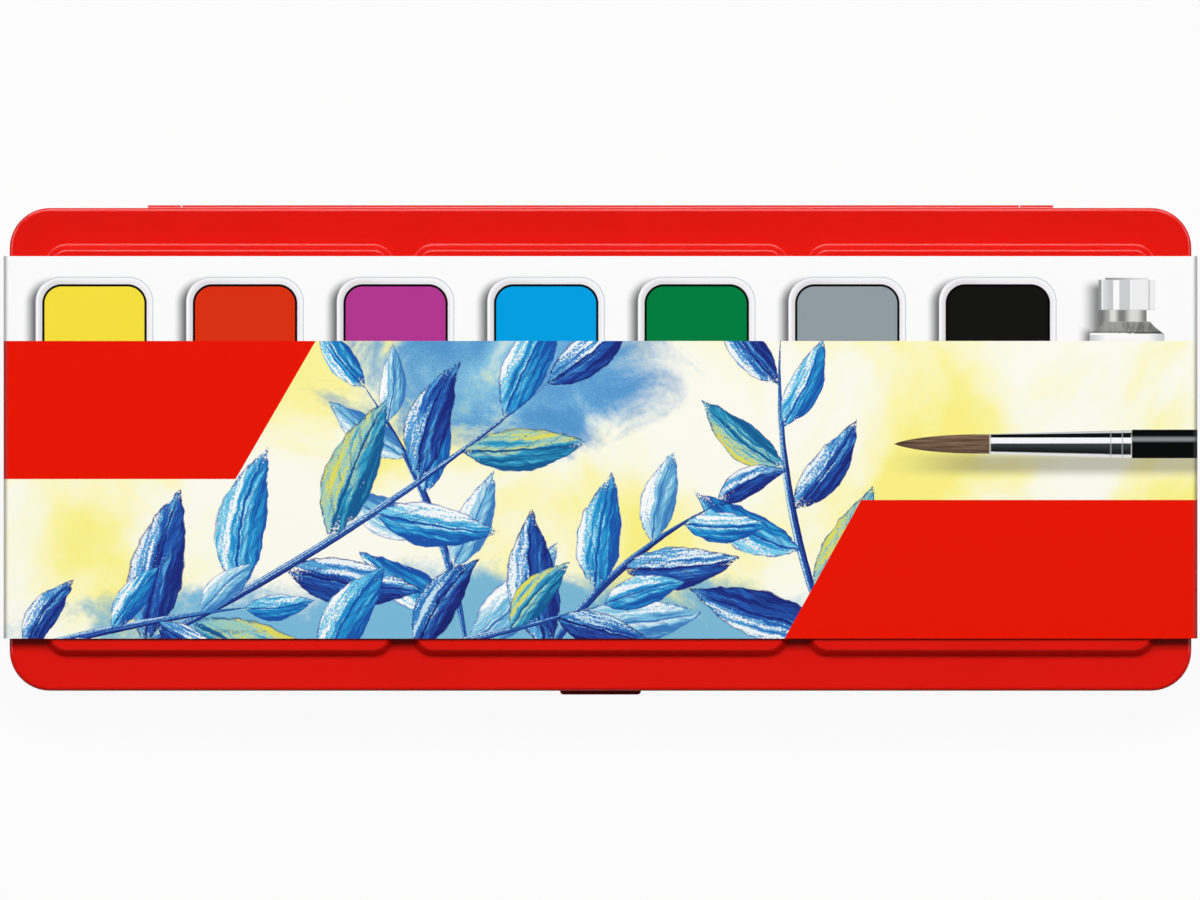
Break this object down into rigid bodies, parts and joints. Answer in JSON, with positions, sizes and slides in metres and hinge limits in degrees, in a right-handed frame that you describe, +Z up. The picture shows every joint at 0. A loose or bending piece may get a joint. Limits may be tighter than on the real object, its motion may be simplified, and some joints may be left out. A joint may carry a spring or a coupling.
{
  "type": "gouache paint set box",
  "caption": "Flat hinged metal box of gouache pans with mixing wells in its lid, a paint tube, a brush and a slide-off printed card wrap.",
  "frame": {"origin": "the middle of the underside of the metal base", "axes": "+X along the box to the tube's end, +Y to the hinge, +Z up through the lid"},
  "size_m": [0.2372, 0.0974, 0.0204],
  "materials": {
    "red_lacquer": "glossy stove enamel, red outside and white inside",
    "steel_wire": "drawn wire",
    "printed_card": "printed outside, bare inside",
    "white_tray": "vacuum-formed white",
    "white_pan": "moulded white",
    "gouache_yellow": "matt pressed paint",
    "gouache_vermilion": "matt pressed paint",
    "gouache_magenta": "matt pressed paint",
    "gouache_cyan": "matt pressed paint",
    "gouache_green": "matt pressed paint",
    "gouache_grey": "matt pressed paint",
    "gouache_black": "matt pressed paint",
    "tube_aluminium": "satin, white enamelled label",
    "white_gouache": "paste",
    "white_cap": "moulded white",
    "cap_seal": "foam disc",
    "black_lacquer": "gloss black lacquer",
    "nickel": "plated",
    "brown_hair": "fine hair"
  },
  "bodies": {
    "base": {"base_hinge_leaf": "red_lacquer", "brush_ferrule": "nickel", "brush_handle": "black_lacquer", "brush_tuft": "brown_hair", "cake_black": "gouache_black", "cake_cyan": "gouache_cyan", "cake_green": "gouache_green", "cake_grey": "gouache_grey", "cake_magenta": "gouache_magenta", "cake_vermilion": "gouache_vermilion", "cake_yellow": "gouache_yellow", "hinge_pin": "steel_wire", "pan_black": "white_pan", "pan_cyan": "white_pan", "pan_green": "white_pan", "pan_grey": "white_pan", "pan_magenta": "white_pan", "pan_tray": "white_tray", "pan_vermilion": "white_pan", "pan_yellow": "white_pan", "tin_base": "red_lacquer", "tube_body": "tube_aluminium", "tube_paint": "white_gouache"},
    "lid": {"lid_shell": "red_lacquer", "lid_hinge_leaf": "red_lacquer"},
    "wrap": {"card_wrap": "printed_card"},
    "seal": {"cap_liner": "cap_seal"},
    "cap": {"tube_cap": "white_cap"}
  },
  "joints": [
    {"name": "lid_hinge", "type": "hinge", "parent": "base", "child": "lid", "pos_m": [0, 0.04765, 0.0102], "axis": [-1, 0, 0], "range_deg": [0, 180]},
    {"name": "wrap_slide", "type": "slide", "parent": "lid", "child": "wrap", "axis": [0, -1, 0], "range_m": [0, 0.09]},
    {"name": "cap_travel", "type": "slide", "parent": "base", "child": "seal", "axis": [0, 1, 0], "range_m": [0, 0.005]},
    {"name": "cap_turn", "type": "hinge", "parent": "seal", "child": "cap", "pos_m": [0.10249, 0.0344, 0.0084], "axis": [0, 1, 0], "range_deg": [0, 1440]}
  ],
  "couplings": [
    {"joint": "cap_turn", "follows": "cap_travel", "rad_per_m": 5026.5}
  ]
}
